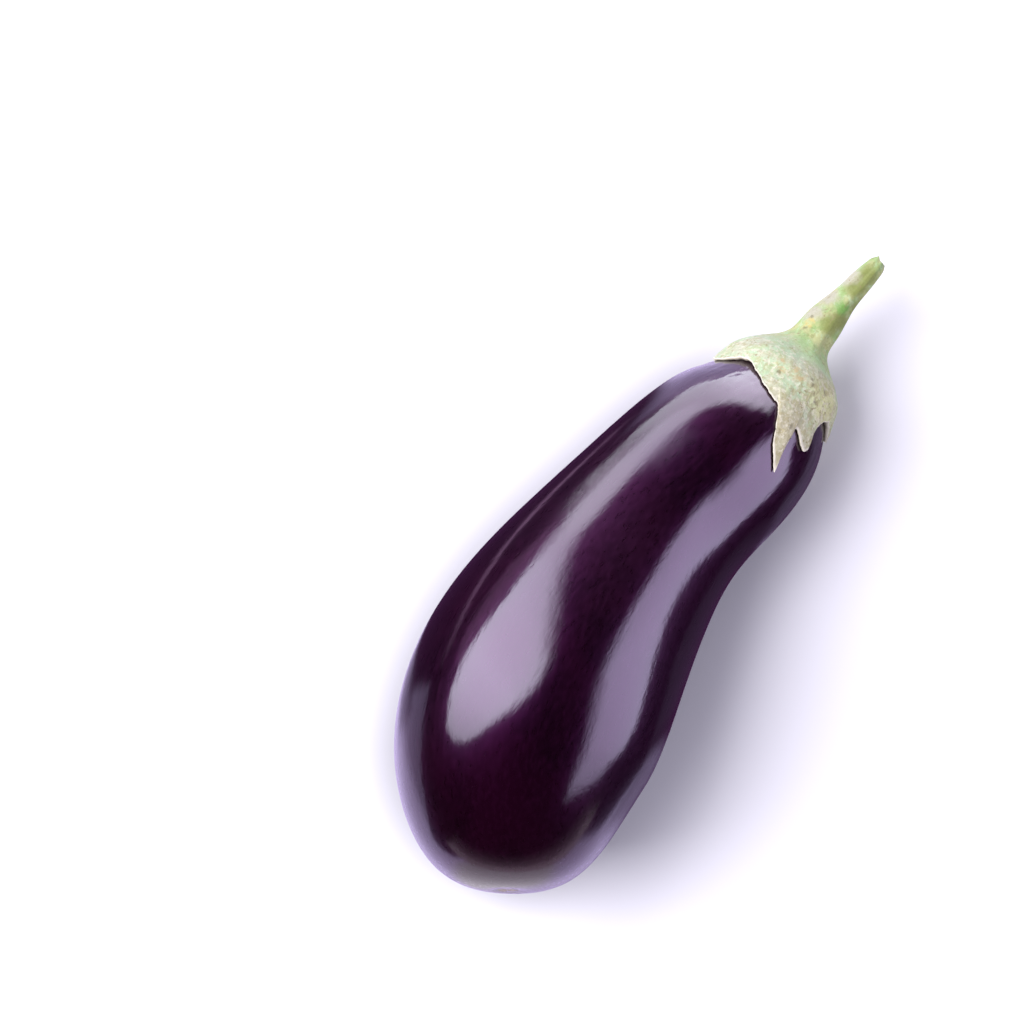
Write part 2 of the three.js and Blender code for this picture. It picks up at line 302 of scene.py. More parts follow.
# A faint bright line in the gloss of the fruit's left side: its near and far edge as [x, y] on the
# floor, in millimetres.
STREAK_NEAR = [[-400, -95], [-328, -54], [-248, -19], [-152, 6], [-108, 17], [-84, 26], [-72, 40],
               [-66, 50], [-61, 62]]
STREAK_FAR = [[-640, -110], [-640, -40], [-448, 22], [-209, 31], [-136, 33], [-102, 38], [-88, 50],
              [-82, 59], [-76, 71]]
STREAK_COLUMNS = 60
STREAK_SHARES = (0, 0.6, 1, 0.6, 0)  # from its near edge to its far one
STREAK_START = 0.15  # radians into the half turn that its share follows from end to end
STREAK_COLOUR = (1.1, 0.62, 1.1)
STREAK_HEIGHT = 0.7 * MM
# The faint shade on the floor that the camera sees along the fruit's lit side.
CONTACT_AZIMUTH = -135  # the way from the fruit to it
CONTACT_TURN = (-0.4, 0.4)  # cosines between which it comes in, on turning to that side
CONTACT_DIMMING = 0.45
CONTACT_REACH = (-4 * MM, 20 * MM)  # from where it is deepest to where it ends, off the fruit
CONTACT_CORNER = (120 * MM, 160 * MM)  # of the sheet that casts it
CONTACT_STEPS = 240
CONTACT_HEIGHT = 0.3 * MM

SKY_COLOUR, SKY_LIGHT = (0.9, 0.88, 1.0), 0.59
SKY_COLOUR_IN_GLOSS, SKY_LIGHT_IN_GLOSS = (0.8, 0.6, 1.0), 0.012
BACKDROP_COLOUR, BACKDROP_LIGHT = (0.80, 0.79, 0.83), 1
LAMP_DISTANCE = 2.5
KEY_LAMP = ("key", -122, 53, 1.8, 91)  # its name, azimuth, elevation, size and power


# ---- Curves ----

def with_open_ends(points):
    """Adds a point at each end, so that a curve starts and ends at its end control points."""
    return np.vstack([2 * points[0] - points[1], points, 2 * points[-1] - points[-2]])


def with_poles(points):
    """Adds a point at each end, so that an outline meets the axis squarely at its poles."""
    return np.vstack([points[1] * [1, -1], points, points[-2] * [1, -1]])


def spline(points, t):
    """Points of a uniform cubic B-spline, with t = 0 at control point 1."""
    t = np.asarray(t, float)
    piece = np.clip(np.floor(t).astype(int), 0, len(points) - 4)
    u = (t - piece)[..., None]
    weights = (
        (1 - u) ** 3,
        3 * u ** 3 - 6 * u ** 2 + 4,
        1 + 3 * u + 3 * u ** 2 - 3 * u ** 3,
        u ** 3,
    )
    return sum(weight * points[piece + k] for k, weight in enumerate(weights)) / 6


AXIS_CURVE = with_open_ends(AXIS)
FRUIT_CURVE = with_poles(FRUIT_OUTLINE)
STEM_CURVE = with_open_ends(STEM_OUTLINE)
FRUIT_END = len(FRUIT_OUTLINE) - 1
STEM_END = len(STEM_OUTLINE) - 1
CURVE_STEP = 0.01  # between two points of the axis that give its direction
# Stations and radii close together along each outline.
FRUIT_SAMPLES = spline(FRUIT_CURVE, np.linspace(0, FRUIT_END, 4001))
STEM_SAMPLES = spline(STEM_CURVE, np.linspace(0, STEM_END, 2001))
TOP_STATION = FRUIT_SAMPLES[-1, 0]  # the fruit's end inside the calyx


def place(station, radius, angle):
    """Points at those stations, radii and angles. Nothing reaches below the floor."""
    station, radius, angle = np.broadcast_arrays(station, radius, np.radians(angle))
    t = station / AXIS_STEP
    centre = spline(AXIS_CURVE, t)
    forward = spline(AXIS_CURVE, t + CURVE_STEP) - centre
    forward /= np.linalg.norm(forward, axis=-1, keepdims=True)
    side = np.cross(forward, [0, 0, 1.0])
    side /= np.linalg.norm(side, axis=-1, keepdims=True)
    up = np.cross(side, forward)
    across = side * np.sin(angle)[..., None] + up * np.cos(angle)[..., None]
    points = centre + radius[..., None] * across
    points[..., 2] = np.maximum(points[..., 2], 0)
    return points


def straightened(station, radius, angle):
    """The same points with the axis made straight, for patterns that follow the fruit."""
    station, radius, angle = np.broadcast_arrays(station, radius, np.radians(angle))
    return np.stack([radius * np.sin(angle), radius * np.cos(angle), station], -1)


def smoothstep(values, low, high):
    """Smooth share of the way from low to high."""
    share = np.clip((values - low) / (high - low), 0, 1)
    return share * share * (3 - 2 * share)


def relief(points, size, detail, seed=0.0):
    """Smooth noise from about -1 to 1 at each point, with bumps of about that size."""
    flat = (points / size).reshape(-1, 3) + seed
    values = [noise.fractal(Vector(point), 1.0, 2.0, detail) for point in flat]
    return np.array(values).reshape(points.shape[:-1])


# ---- Meshes ----

def grid_quads(rows, columns):
    """The faces of a grid of points, row by row."""
    corner = np.arange(rows * columns).reshape(rows, columns)
    quads = np.stack([corner[:-1, :-1], corner[:-1, 1:], corner[1:, 1:], corner[1:, :-1]], -1)
    return quads.reshape(-1, 4).tolist()


def closed_skin(first_pole, rings, last_pole):
    """Vertices and faces from one pole through rings of points to the other pole."""
    count, sides = rings.shape[:2]
    points = np.vstack([first_pole, rings.reshape(-1, 3), last_pole])
    corner = 1 + np.arange(count * sides).reshape(count, sides)
    beside = np.roll(corner, -1, 1)
    quads = np.stack([corner[:-1], beside[:-1], beside[1:], corner[1:]], -1).reshape(-1, 4)
    last = len(points) - 1
    first_fan = [(0, b, a) for a, b in zip(corner[0].tolist(), beside[0].tolist())]
    last_fan = [(last, a, b) for a, b in zip(corner[-1].tolist(), beside[-1].tolist())]
    return points, first_fan + quads.tolist() + last_fan


def make_piece(name, node, skin, attributes, material):
    """The smooth mesh object that stands for a CAD node, with numbers for its patterns."""
    points, faces = skin
    mesh = bpy.data.meshes.new(name)
    mesh.from_pydata(points.tolist(), [], faces)
    mesh.shade_smooth()
    for label, values in attributes.items():
        kind, field = ("FLOAT_VECTOR", "vector") if values.ndim == 2 else ("FLOAT", "value")
        layer = mesh.attributes.new(label, kind, "POINT")
        layer.data.foreach_set(field, values.astype(np.float32).ravel())
    mesh.materials.append(material)
    piece = bpy.data.objects.new(name, mesh)
    bpy.context.scene.collection.objects.link(piece)
    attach(piece, "root")
    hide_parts(node)
    return piece


def with_ends(first, rings, last):
    """Numbers for a closed skin's vertices, in its order."""
    if rings.ndim == 3:
        return np.vstack([first, rings.reshape(-1, 3), last])
    return np.concatenate([[first], rings.ravel(), [last]])


# ---- Fruit ----

def fruit_outline(t):
    """Stations and radii of the fruit's outline, with the dimple pressed into its blossom end."""
    station, radius = np.moveaxis(spline(FRUIT_CURVE, t), -1, 0)
    dimple = np.where(t < FRUIT_END / 2, SCAR_DEPTH * np.exp(-((radius / SCAR_RADIUS) ** 2)), 0)
    return station + dimple, radius


def make_fruit(material):
    t = FRUIT_END * np.arange(1, FRUIT_RINGS + 1) / (FRUIT_RINGS + 1)
    station, radius = (values[:, None] for values in fruit_outline(t))
    angle = (360 * np.arange(FRUIT_SIDES) / FRUIT_SIDES)[None, :]
    straight = straightened(station, radius, angle)

    body = smoothstep(radius, *BODY_RADII)
    swell = UNEVENNESS * relief(straight, UNEVENNESS_SIZE, 2)
    swell += RIPPLE * relief(straight / np.array([1, 1, RIPPLE_STRETCH]), RIPPLE_SIZE, 2, seed=13)
    flutes = FLUTE_HEIGHT * np.cos(np.radians(FLUTE_COUNT * angle) + FLUTE_TWIST * station)
    gather_places = straight / np.array([1, 1, PUCKER_STRETCH])
    gathers = PUCKER_HEIGHT * relief(gather_places, PUCKER_SIZE, 2, seed=7)
    gathered = smoothstep(station, *PUCKER_STATIONS)
    outer = radius + body * (swell + flutes) * (1 - PUCKER_CALM * gathered) + gathers * gathered

    # The corky spot is a low, cracked disc in the dimple, with a frayed outline.
    frayed = CORK_RADIUS * (1 + CORK_FRAY * relief(straight, CORK_FRAY_SIZE, 3, seed=3))
    near_blossom = station < TOP_STATION / 2
    cork = (1 - smoothstep(radius, *(share * frayed for share in CORK_EDGE))) * near_blossom
    crust = CRUST_LEVEL + CRUST_SWING * relief(straight, CRUST_SIZE, 3, seed=5)
    lifted = station - CORK_HEIGHT * cork * crust

    rings = place(lifted, outer, angle)
    first, last = (fruit_outline(np.array([end]))[0] for end in (0.0, float(FRUIT_END)))
    first_pole = place(first - CORK_HEIGHT * CRUST_LEVEL, 0, 0)
    skin = closed_skin(first_pole, rings, place(last, 0, 0))
    attributes = {
        "straight": with_ends(straightened(first, 0, 0), straight, straightened(last, 0, 0)),
        "cork": with_ends(1.0, cork, 0.0),
    }
    return make_piece("eggplant_fruit", "fruit", skin, attributes, material)


# ---- Calyx and stem ----

def skin_radius(station, lift):
    """The radius at which a surface lies that far off the skin."""
    stations, radii = FRUIT_SAMPLES.T
    slope = np.interp(station, stations, np.gradient(radii, stations))
    return np.interp(station, stations, radii) + lift * np.sqrt(1 + slope ** 2)


def stem_radius(station):
    """The radius of the shoulder and the stem, from their own outline."""
    stations, radii = STEM_SAMPLES.T
    return np.interp(station, stations, radii, left=0)


def edge_columns():
    """Root angle, edge angle and edge station of each column, and how far it is along its lobe."""
    starts = [lobe[0][0] for lobe in LOBES] + [LOBES[0][0][0] + 360]
    points = np.array([point for lobe in LOBES for point in lobe], float)
    roots = np.concatenate([
        start + (end - start) * np.arange(len(lobe)) / len(lobe)
        for lobe, start, end in zip(LOBES, starts, starts[1:])
    ])
    along = np.concatenate([np.arange(len(lobe)) / len(lobe) for lobe in LOBES])
    # The edge is a smooth curve through its points, which goes all the way round.
    turn = np.array([360, 0])
    ringed = np.vstack([points[-1] - turn, points, points[0] + turn, points[1] + turn])
    share = np.arange(EDGE_COLUMNS)[:, None] / EDGE_COLUMNS
    before, start, end, after = ringed[:-3], ringed[1:-2], ringed[2:-1], ringed[3:]
    leave, arrive = (end - before) * EDGE_TENSION, (after - start) * EDGE_TENSION
    edge = np.concatenate([
        (1 + 2 * share) * (1 - share) ** 2 * a + share * (1 - share) ** 2 * m
        + share ** 2 * (3 - 2 * share) * b + share ** 2 * (share - 1) * n
        for a, m, b, n in zip(start, leave, end, arrive)
    ])
    fine = np.arange(len(edge)) / EDGE_COLUMNS
    whole = np.arange(len(points) + 1)
    root = np.interp(fine, whole, np.append(roots, roots[0] + 360))
    lobe_share = np.interp(fine, whole, np.append(along, 1))
    return root, edge[:, 0], edge[:, 1] * MM, lobe_share


def calyx_relief(station, radius, angle, lobe_share, share):
    """Veins, wrinkles and lumps of the calyx, and the stem's ridges."""
    straight = straightened(station, radius, angle)
    on_stem = smoothstep(station, *STEM_STATIONS)
    long_places = straight / np.array([1, 1, RIDGE_STRETCH])
    wrinkles = WRINKLE_HEIGHT * relief(long_places, WRINKLE_SIZE, 2, seed=11)
    wrinkles *= 1 - WRINKLE_LOSS * on_stem
    ridges = STEM_RIDGE_HEIGHT * relief(long_places, STEM_RIDGE_SIZE, 2, seed=17) * on_stem
    lumps = LUMP_HEIGHT * relief(straight, LUMP_SIZE, 2, seed=23) * (1 - LUMP_LOSS * on_stem)
    rib = RIB_HEIGHT * np.cos(np.radians(RIB_COUNT * (angle - RIB_ANGLE)))
    rib *= smoothstep(station, RIB_START, LOBE_ROOT)
    rib *= 1 - RIB_LOSS * smoothstep(station, *RIB_FADE)
    vein = VEIN_HEIGHT * np.exp(-((lobe_share - 0.5) / VEIN_WIDTH) ** 2) * (1 - on_stem)
    calm = 1 - EDGE_CALM * smoothstep(share, *CALM_SHARES)
    return (wrinkles + lumps + vein) * calm + ridges + rib


def make_calyx(material):
    root, edge_angle, edge_station, lobe_share = edge_columns()
    columns = len(root)
    ring_places = straightened(edge_station, EDGE_RADIUS, edge_angle)
    edge_station = edge_station + EDGE_RAGGEDNESS * relief(ring_places, EDGE_RAG_SIZE, 3, seed=31)

    def lobe_grid(shares):
        """Stations, angles and shares of the way from the lobes' roots to their edge."""
        share = shares[:, None]
        station = LOBE_ROOT + (edge_station - LOBE_ROOT) * share
        angle = root + (edge_angle - root) * share ** LEAN_POWER
        return station, angle, np.broadcast_to(share, station.shape)

    tip = 1 - smoothstep(edge_station, *TIP_STATIONS)
    curl = CURL_LEVEL + CURL_SWING * relief(ring_places, CURL_SIZE, 2, seed=41)
    curl = EDGE_LIFT * tip * curl.clip(CURL_LEAST, 1)

    def lift_of(share):
        return (curl * smoothstep(share, *LIFT_SHARES) ** 2
                - EDGE_HUG * smoothstep(share, *HUG_SHARES))

    # The inner skin: over the top of the fruit, then down the insides of the lobes.
    station, angle, inner_share = lobe_grid(np.linspace(0, 1, INNER_ROWS))
    inner = place(station, skin_radius(station, SKIN_GAP + lift_of(inner_share)), angle)
    inner_straight = straightened(station, skin_radius(station, 0), angle)

    dome_station = np.linspace(TOP_STATION, LOBE_ROOT, DOME_ROWS + 2)[1:-1, None]
    dome_radius = skin_radius(dome_station.clip(None, SKIN_REACH), SKIN_GAP)
    dome_station = dome_station + DOME_GAP
    dome = place(dome_station, dome_radius, root[None, :])
    dome_straight = straightened(dome_station, dome_radius, root[None, :])

    # The outer skin: up the outsides of the lobes, over the shoulder and along the stem.
    station, angle, share = lobe_grid(np.linspace(1, 0, OUTER_ROWS))
    stem_station = np.linspace(LOBE_ROOT, CUT_STATION, STEM_ROWS + 1)[1:, None]
    station = np.vstack([station, np.broadcast_to(stem_station, (STEM_ROWS, columns))])
    angle = np.vstack([angle, np.broadcast_to(root, (STEM_ROWS, columns))])
    share = np.vstack([share, np.zeros((STEM_ROWS, columns))])
    thickness = LOBE_THICKNESS * (1 - EDGE_THINNING * smoothstep(share, *THINNING_SHARES))
    lobe = skin_radius(station.clip(None, SKIN_REACH), SKIN_GAP + thickness + lift_of(share))
    shoulder = stem_radius(station)
    radius = (lobe + shoulder + np.hypot(lobe - shoulder, SHOULDER_BLEND)) / 2
    radius = np.where(station > STEM_ALONE, shoulder, radius)
    near_cut = ((station - CUT_STATION + CUT_ROUNDING) / CUT_ROUNDING).clip(0, 1)
    radius = radius * (1 - CUT_NARROWING * near_cut ** 3)
    fine = calyx_relief(station, radius, angle, lobe_share, share)
    stub = STUB_HEIGHT * np.exp(-((root - STUB_ANGLE) / STUB_SPREAD) ** 2)
    bark = stub * smoothstep(station, CUT_STATION - STUB_LENGTH, CUT_STATION)
    outer = place(station + bark, radius + fine, angle)
    outer_straight = straightened(station, radius, angle)

    # The cut: a rounded rim round shrunken pith.
    cut_share = np.linspace(*CUT_SHARES, CUT_ROWS)[:, None]
    sunk = CUT_HOLLOW * smoothstep(1 - cut_share, *PITH_SHARES)
    rim_middle, rim_width = (1 + RIM_START) / 2, 1 - RIM_START
    across_rim = 2 * (cut_share.clip(RIM_START, 1) - rim_middle) / rim_width
    bulge = CUT_BULGE * np.sqrt(1 - across_rim ** 2 + 1e-9)
    cut_station = CUT_STATION + bulge - sunk + stub * smoothstep(cut_share, *STUB_SHARES)
    cut_radius = cut_share * (radius[-1] + fine[-1])
    cut_places = straightened(cut_station, cut_radius, root)
    rough = PITH_ROUGHNESS * relief(cut_places, PITH_SIZE, 2, seed=53)
    cut = place(cut_station + rough, cut_radius, root)

    parts = [dome, inner, outer, cut]

    def over_parts(*values):
        """A number for each point of the rings, from what each part has."""
        return np.concatenate([np.broadcast_to(value, part.shape[:2])
                               for value, part in zip(values, parts)])

    rings = np.concatenate(parts)
    straight = np.concatenate([dome_straight, inner_straight, outer_straight, cut_places])
    rim = over_parts(0, inner_share, share, 0)
    inside = over_parts(1, 1, 0, 0)
    sawn = over_parts(0, 0, 0, 1 - cut_share)
    top = TOP_STATION + SKIN_GAP
    end = CUT_STATION - CUT_HOLLOW
    skin = closed_skin(place(top, 0, 0), rings, place(end, 0, 0))
    attributes = {
        "straight": with_ends(straightened(top, 0, 0), straight, straightened(end, 0, 0)),
        "rim": with_ends(0.0, rim, 0.0),
        "inside": with_ends(1.0, inside, 0.0),
        "sawn": with_ends(0.0, sawn, 1.0),
    }
    return make_piece("eggplant_calyx", "calyx_and_stem", skin, attributes, material)


# ---- Materials ----

class Finish:
    """A material's node tree. Its methods add nodes to it and return what comes out of them."""

    def __init__(self, name):
        self.material = bpy.data.materials.new(name)
        self.material.use_nodes = True
        self.tree = self.material.node_tree
        self.surface = self.tree.nodes["Principled BSDF"]

    def set(self, socket, value):
        if isinstance(value, bpy.types.NodeSocket):
            self.tree.links.new(value, socket)
        elif socket.type == "RGBA" and len(value) == 3:
            socket.default_value = (*value, 1)
        else:
            socket.default_value = value

    def node(self, kind, inputs, output=0, **settings):
        made = self.tree.nodes.new("ShaderNode" + kind)
        for key, value in settings.items():
            setattr(made, key, value)
        for key, value in inputs.items():
            self.set(made.inputs[key], value)
        return made.outputs[output]

    def attribute(self, name, output="Vector"):
        return self.node("Attribute", {}, output, attribute_name=name)

    def scaled(self, vector, stretch):
        return self.node("VectorMath", {0: vector, 1: stretch}, operation="MULTIPLY")

    def noise(self, vector, size, detail=2, roughness=0.5, output=0):
        inputs = {"Vector": vector, "Scale": 1 / size, "Detail": detail, "Roughness": roughness}
        return self.node("TexNoise", inputs, output)

    def cells(self, vector, size):
        return self.node("TexVoronoi", {"Vector": vector, "Scale": 1 / size}, "Distance")

    def band(self, value, low, high, start=0.0, end=1.0):
        """Smooth share of the way from low to high, from start to end."""
        inputs = {"Value": value, "From Min": low, "From Max": high, "To Min": start, "To Max": end}
        return self.node("MapRange", inputs, interpolation_type="SMOOTHSTEP")

    def math(self, operation, first, second=0.0):
        return self.node("Math", {0: first, 1: second}, operation=operation)

    def mix(self, share, first, second, blend="MIX"):
        """From the first colour to the second, whose sockets are the Mix node's 6 and 7."""
        inputs = {0: share, 6: first, 7: second}
        return self.node("Mix", inputs, 2, data_type="RGBA", blend_type=blend)

    def wobbled(self, vector, size, amount):
        """The vector moved about by noise, so that what follows it gets ragged outlines."""
        drift = self.noise(vector, size, 3, output="Color")
        shift = self.node("VectorMath", {0: drift, 1: (0.5, 0.5, 0.5)}, operation="SUBTRACT")
        shift = self.scaled(shift, (amount,) * 3)
        return self.node("VectorMath", {0: vector, 1: shift}, operation="ADD")

    def patch(self, vector, places, size):
        """1 at any of those places on the calyx, and 0 beyond that distance from them all."""
        share = None
        for angle, station in places:
            ends = {0: vector, 1: calyx_place(angle, station)}
            distance = self.node("VectorMath", ends, "Value", operation="DISTANCE")
            spot = self.band(distance, size, 0.3 * size)
            share = spot if share is None else self.math("MAXIMUM", share, spot)
        return share

    def bump(self, height, strength, distance):
        inputs = {"Height": height, "Strength": strength, "Distance": distance}
        return self.node("Bump", inputs, "Normal")

    def set_surface(self, values):
        for name, value in values.items():
            self.set(self.surface.inputs[name], value)


def skin_finish():
    """Nearly black purple wax, with a fine grain along the fruit."""
    finish = Finish("eggplant_skin")
    straight = finish.attribute("straight")
    along = finish.scaled(straight, (1, 1, 0.3))
    cloud = finish.noise(straight, 22 * MM, 3)
    grain = finish.noise(along, 1.1 * MM, 3, 0.5)
    deep, purple, faded = (0.0028, 0.0001, 0.0013), (0.0075, 0.0002, 0.0036), (0.014, 0.001, 0.008)
    colour = finish.mix(finish.band(cloud, 0.35, 0.7), deep, purple)
    colour = finish.mix(finish.band(grain, 0.45, 0.75, 0, 0.4), colour, faded)
    cork = finish.attribute("cork", "Fac")
    crust = finish.noise(straight, 1.0 * MM, 4, 0.7)
    cork_colour = finish.mix(crust, (0.13, 0.085, 0.05), (0.34, 0.27, 0.2))
    # A sharp wax coat lies over a duller skin, whose purple haze surrounds every highlight.
    rough = finish.band(grain, 0.3, 0.7, 0.27, 0.34)
    relief_normal = finish.bump(grain, 1.0, SKIN_BUMP)
    finish.set_surface({
        "Base Color": finish.mix(cork, colour, cork_colour),
        "Roughness": finish.math("MAXIMUM", rough, finish.band(cork, 0, 1, 0, 0.75)),
        "Normal": relief_normal,
        "Specular IOR Level": 0.25,
        "Specular Tint": (0.95, 0.16, 0.85),
        "Coat Normal": relief_normal,
        "Coat Weight": 1.0,
        "Coat Roughness": 0.085,
        "Coat IOR": 1.5,
    })
    return finish.material


def calyx_place(angle, station):
    """A place on the calyx or stem, in its patterns' straightened frame."""
    station = station * MM
    radius = stem_radius(station)
    if station <= STEM_ALONE:
        radius = max(radius, skin_radius(station, OUTSIDE_LIFT))
    return tuple(straightened(station, radius, angle))


def calyx_finish():
    """Dry cream lobes that turn beige towards their tips, a green shoulder and an olive stem, with
    corky scars, specks and pale edges."""
    finish = Finish("eggplant_calyx")
    straight = finish.attribute("straight")
    rim = finish.attribute("rim", "Fac")
    inside = finish.attribute("inside", "Fac")
    sawn = finish.attribute("sawn", "Fac")
    station = finish.node("SeparateXYZ", {"Vector": straight}, "Z")
    along = finish.scaled(straight, (1, 1, 0.18))
    loose = finish.wobbled(straight, 2.2 * MM, 3.2 * MM)
    cloud = finish.noise(straight, 9 * MM, 3, 0.6)
    blotch = finish.noise(straight, 3.6 * MM, 3, 0.55)
    mottle = finish.noise(straight, 1.5 * MM, 3, 0.6)
    dapple = finish.noise(loose, 2.6 * MM, 3, 0.6)
    streak = finish.noise(along, 1.3 * MM, 3, 0.6)

    cream, beige = (0.55, 0.57, 0.42), (0.52, 0.45, 0.31)
    pale, straw_painted_lighter = (0.78, 0.73, 0.62), (0.74, 0.71, 0.36)
    mint, green, leaf = (0.48, 0.62, 0.41), (0.48, 0.70, 0.34), (0.17, 0.34, 0.07)
    olive, moss, lime = (0.47, 0.49, 0.24), (0.24, 0.27, 0.075), (0.33, 0.47, 0.18)
    cork, brown, dark = (0.46, 0.44, 0.34), (0.30, 0.235, 0.12), (0.14, 0.115, 0.05)
    tan, amber, yellow = (0.43, 0.365, 0.2), (0.52, 0.39, 0.175), (0.58, 0.47, 0.16)
    edge, painted_underside_shade = (0.86, 0.79, 0.72), (0.33, 0.28, 0.17)
    pith, shade = (0.34, 0.29, 0.15), (0.62, 0.62, 0.52)

    # The lobes: cream and mint, straw in places (partly painted light) and beige towards the tips.
    lobes = finish.mix(finish.band(cloud, 0.42, 0.6), cream, mint)
    # Straw patches, painted lighter than their tint as painted light where the lamp leaves shade.
    straw_and_painted_light = finish.patch(loose, STRAW_AND_PAINTED_LIGHT_PLACES, 12 * MM)
    lobes = finish.mix(finish.math("MULTIPLY", straw_and_painted_light, 0.75), lobes, straw_painted_lighter)
    lobes = finish.mix(finish.band(blotch, 0.46, 0.66, 0, 0.5), lobes, olive)
    wavy = finish.math("ADD", station, finish.math("MULTIPLY", cloud, 12 * MM))
    lobes = finish.mix(finish.band(wavy, 184 * MM, 172 * MM, 0, 0.85), lobes, beige)
    dappled = finish.math("MULTIPLY", finish.band(dapple, 0.49, 0.6, 0, 0.62),
                          finish.band(wavy, 197 * MM, 186 * MM, 0.3, 1))
    lobes = finish.mix(dappled, lobes, tan)
    lobes = finish.mix(finish.band(mottle, 0.5, 0.62, 0, 0.55), lobes, pale)

    # The shoulder and the stem: green, with mossy streaks and paler corky scars.
    stem = finish.mix(finish.band(blotch, 0.38, 0.58), lime, olive)
    stem = finish.mix(finish.band(dapple, 0.52, 0.62, 0, 0.55), stem, mint)
    stem = finish.mix(finish.band(mottle, 0.54, 0.66, 0, 0.5), stem, moss)
    stem = finish.mix(finish.patch(loose, MOSS_PLACES, 5.5 * MM), stem, moss)
    stem = finish.mix(finish.patch(loose, CORK_PLACES, 5 * MM), stem, cork)
    green_side = finish.patch(loose, GREEN_PLACES, 11 * MM)
    lobes = finish.mix(finish.math("MULTIPLY", green_side, 0.8), lobes, green)
    colour = finish.mix(finish.band(wavy, 195 * MM, 206 * MM), lobes, stem)

    # Small scars and specks.
    worn = finish.band(mottle, 0.4, 0.6, 0.15, 0.8)
    for places, size, tint in ((YELLOW_PLACES, 2.8 * MM, yellow), (AMBER_PLACES, 2.6 * MM, amber)):
        patches = finish.math("MULTIPLY", finish.patch(loose, places, size), worn)
        colour = finish.mix(patches, colour, tint)
    colour = finish.mix(finish.patch(loose, LEAF_PLACES, 3.2 * MM), colour, leaf)
    colour = finish.mix(finish.band(streak, 0.57, 0.7, 0, 0.45), colour, brown)
    clustered = finish.math("ADD", finish.noise(straight, 6 * MM, 2),
                            finish.math("MULTIPLY", straw_and_painted_light, 0.12))
    specks = finish.math("MULTIPLY", finish.band(finish.cells(loose, 1.7 * MM), 0.3, 0.12),
                         finish.band(clustered, 0.54, 0.62))
    colour = finish.mix(finish.math("MULTIPLY", specks, 0.85), colour, brown)
    colour = finish.mix(finish.math("MULTIPLY", finish.patch(loose, DARK_PLACES, 1.2 * MM), 0.6),
                        colour, dark)
    tone = finish.noise(straight, 0.7 * MM, 3, 0.7)
    colour = finish.mix(finish.band(tone, 0.35, 0.7, 0, 0.35), colour, shade, "MULTIPLY")

    # The lobes' pale edges, painted shade on the calyx's inside, and the stem's cut.
    colour = finish.mix(finish.band(rim, 0.94, 0.98, 0, 0.75), colour, edge)
    # The calyx's inside is painted darker: painted shade under the lobes.
    colour = finish.mix(finish.math("MULTIPLY", inside, 0.8), colour, painted_underside_shade)
    cut = finish.mix(finish.band(sawn, 0.3, 0.55), cork, pith)
    colour = finish.mix(finish.band(sawn, 0.02, 0.06), colour, cut)

    fibres = finish.noise(along, 0.6 * MM, 4, 0.65)
    pits = finish.math("ADD", fibres, finish.math("MULTIPLY", specks, -0.5))
    finish.set_surface({
        "Base Color": colour,
        "Roughness": finish.band(blotch, 0.3, 0.7, 0.62, 0.8),
        "Normal": finish.bump(pits, 0.6, CALYX_BUMP),
        "Specular IOR Level": 0.25,
    })
    return finish.material


# ---- Floor, light and camera ----

def heading(azimuth, elevation):
    """The unit vector at an azimuth, clockwise from +Y seen from above, and an elevation."""
    azimuth, elevation = math.radians(azimuth), math.radians(elevation)
    level = math.cos(elevation)
    return Vector((math.sin(azimuth) * level, math.cos(azimuth) * level, math.sin(elevation)))


def make_stage_mesh(name, points, faces, material, shares=None):
    """A mesh that isn't part of the object, with a number for each point."""
    mesh = bpy.data.meshes.new(name)
    mesh.from_pydata([tuple(point) for point in points], [], faces)
    mesh.materials.append(material)
    if shares is not None:
        layer = mesh.attributes.new("share", "FLOAT", "POINT")
        layer.data.foreach_set("value", np.asarray(shares, np.float32))
    piece = bpy.data.objects.new(name, mesh)
    bpy.context.scene.collection.objects.link(piece)
    return piece


def make_floor():
    """A round pale board, plain and matt."""
    finish = Finish("pale_floor")
    in_gloss = finish.node("LightPath", {}, "Is Glossy Ray")
    colour = finish.mix(in_gloss, FLOOR_COLOUR, FLOOR_COLOUR_IN_GLOSS)
    finish.set_surface({"Base Color": colour, "Roughness": 1.0, "Specular IOR Level": 0.0})
    turns = [2 * math.pi * k / FLOOR_SIDES for k in range(FLOOR_SIDES)]
    points = [(FLOOR_RADIUS * math.cos(turn), FLOOR_RADIUS * math.sin(turn), 0) for turn in turns]
    make_stage_mesh("floor", points, [tuple(range(FLOOR_SIDES))], finish.material)


def sheet_material(name, colour):
    """A plain glow, dark or bright, that covers as much as each point's share."""
    material = bpy.data.materials.new(name)
    material.use_nodes = True
    tree = material.node_tree
    tree.nodes.clear()
    share = tree.nodes.new("ShaderNodeAttribute")
    share.attribute_name = "share"
    clear = tree.nodes.new("ShaderNodeBsdfTransparent")
    glow = tree.nodes.new("ShaderNodeEmission")
    glow.inputs["Color"].default_value = (*colour, 1)
    blend = tree.nodes.new("ShaderNodeMixShader")
    out = tree.nodes.new("ShaderNodeOutputMaterial")
    tree.links.new(share.outputs["Fac"], blend.inputs["Fac"])
    tree.links.new(clear.outputs[0], blend.inputs[1])
    tree.links.new(glow.outputs[0], blend.inputs[2])
    tree.links.new(blend.outputs[0], out.inputs["Surface"])
    return material


